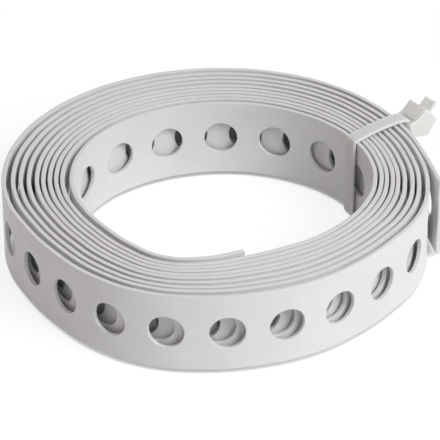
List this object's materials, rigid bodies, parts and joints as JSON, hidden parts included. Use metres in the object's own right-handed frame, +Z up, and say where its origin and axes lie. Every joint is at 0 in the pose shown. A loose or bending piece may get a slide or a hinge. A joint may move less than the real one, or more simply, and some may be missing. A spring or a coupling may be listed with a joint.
{
  "type": "perforated steel strap coil",
  "caption": "White-coated steel strap with a row of round holes, wound in a loose flat coil and held by a cable tie, for hanging or fixing pipes, ducts and cables.",
  "frame": {"origin": "centre of the part's footprint, the tie's head included, on the floor that it lies on", "axes": "+Z up, along the coil's own axis; -Y towards the front, where the strap's inner end is; +X towards the free outer end"},
  "size_m": [0.1338, 0.1282, 0.0293],
  "materials": {
    "white_coating": "satin",
    "natural_nylon": "satin"
  },
  "bodies": {
    "root": {"strap_coil": "white_coating", "cable_tie": "natural_nylon"}
  },
  "joints": []
}
